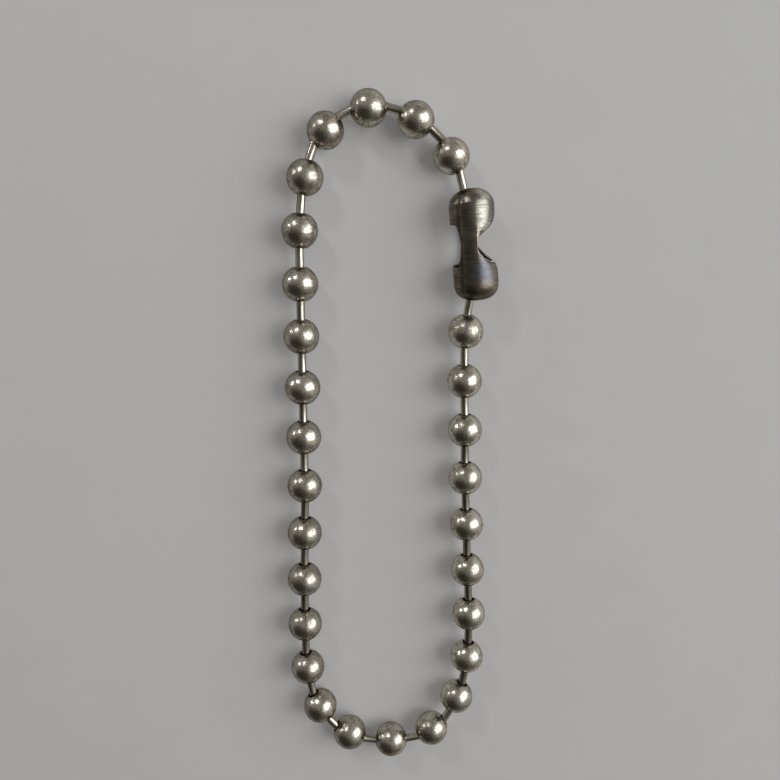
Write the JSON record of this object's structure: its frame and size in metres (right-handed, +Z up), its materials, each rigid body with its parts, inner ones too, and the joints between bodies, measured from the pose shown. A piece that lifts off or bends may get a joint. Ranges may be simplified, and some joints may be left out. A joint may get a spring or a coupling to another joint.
{
  "type": "ball chain loop with coupling",
  "caption": "Closed loop of large hollow metal ball chain, laid flat in a long oval, its end balls clasped in a slotted sheet-metal coupling.",
  "frame": {"origin": "on the floor that the loop lies on, under the middle of its box in plan", "axes": "+Z up from the floor; +Y along the loop's long way, towards the end with the coupling; +X across it, towards the side with the coupling"},
  "size_m": [0.0582, 0.1872, 0.0117],
  "materials": {
    "ball_nickel": "satin nickel-plated steel, dulled, with a warm grey tarnish",
    "pin_nickel": "nickel-plated wire, worn brighter than the balls",
    "coupling_steel": "dark drawn sheet steel with fine marks round the tube and bright cut edges"
  },
  "bodies": {
    "root": {"ball_01": "ball_nickel", "ball_02": "ball_nickel", "ball_03": "ball_nickel", "ball_04": "ball_nickel", "ball_05": "ball_nickel", "ball_06": "ball_nickel", "ball_07": "ball_nickel", "ball_08": "ball_nickel", "ball_09": "ball_nickel", "ball_10": "ball_nickel", "ball_11": "ball_nickel", "ball_12": "ball_nickel", "ball_13": "ball_nickel", "ball_14": "ball_nickel", "ball_15": "ball_nickel", "ball_16": "ball_nickel", "ball_17": "ball_nickel", "ball_18": "ball_nickel", "ball_19": "ball_nickel", "ball_20": "ball_nickel", "ball_21": "ball_nickel", "ball_22": "ball_nickel", "ball_23": "ball_nickel", "ball_24": "ball_nickel", "ball_25": "ball_nickel", "ball_26": "ball_nickel", "ball_27": "ball_nickel", "ball_28": "ball_nickel", "ball_29": "ball_nickel", "ball_30": "ball_nickel", "coupling": "coupling_steel", "link_pin_01": "pin_nickel", "link_pin_02": "pin_nickel", "link_pin_03": "pin_nickel", "link_pin_04": "pin_nickel", "link_pin_05": "pin_nickel", "link_pin_06": "pin_nickel", "link_pin_07": "pin_nickel", "link_pin_08": "pin_nickel", "link_pin_09": "pin_nickel", "link_pin_10": "pin_nickel", "link_pin_11": "pin_nickel", "link_pin_12": "pin_nickel", "link_pin_13": "pin_nickel", "link_pin_14": "pin_nickel", "link_pin_15": "pin_nickel", "link_pin_16": "pin_nickel", "link_pin_17": "pin_nickel", "link_pin_18": "pin_nickel", "link_pin_19": "pin_nickel", "link_pin_20": "pin_nickel", "link_pin_21": "pin_nickel", "link_pin_22": "pin_nickel", "link_pin_23": "pin_nickel", "link_pin_24": "pin_nickel", "link_pin_25": "pin_nickel", "link_pin_26": "pin_nickel", "link_pin_27": "pin_nickel", "link_pin_28": "pin_nickel", "link_pin_29": "pin_nickel"}
  },
  "joints": []
}
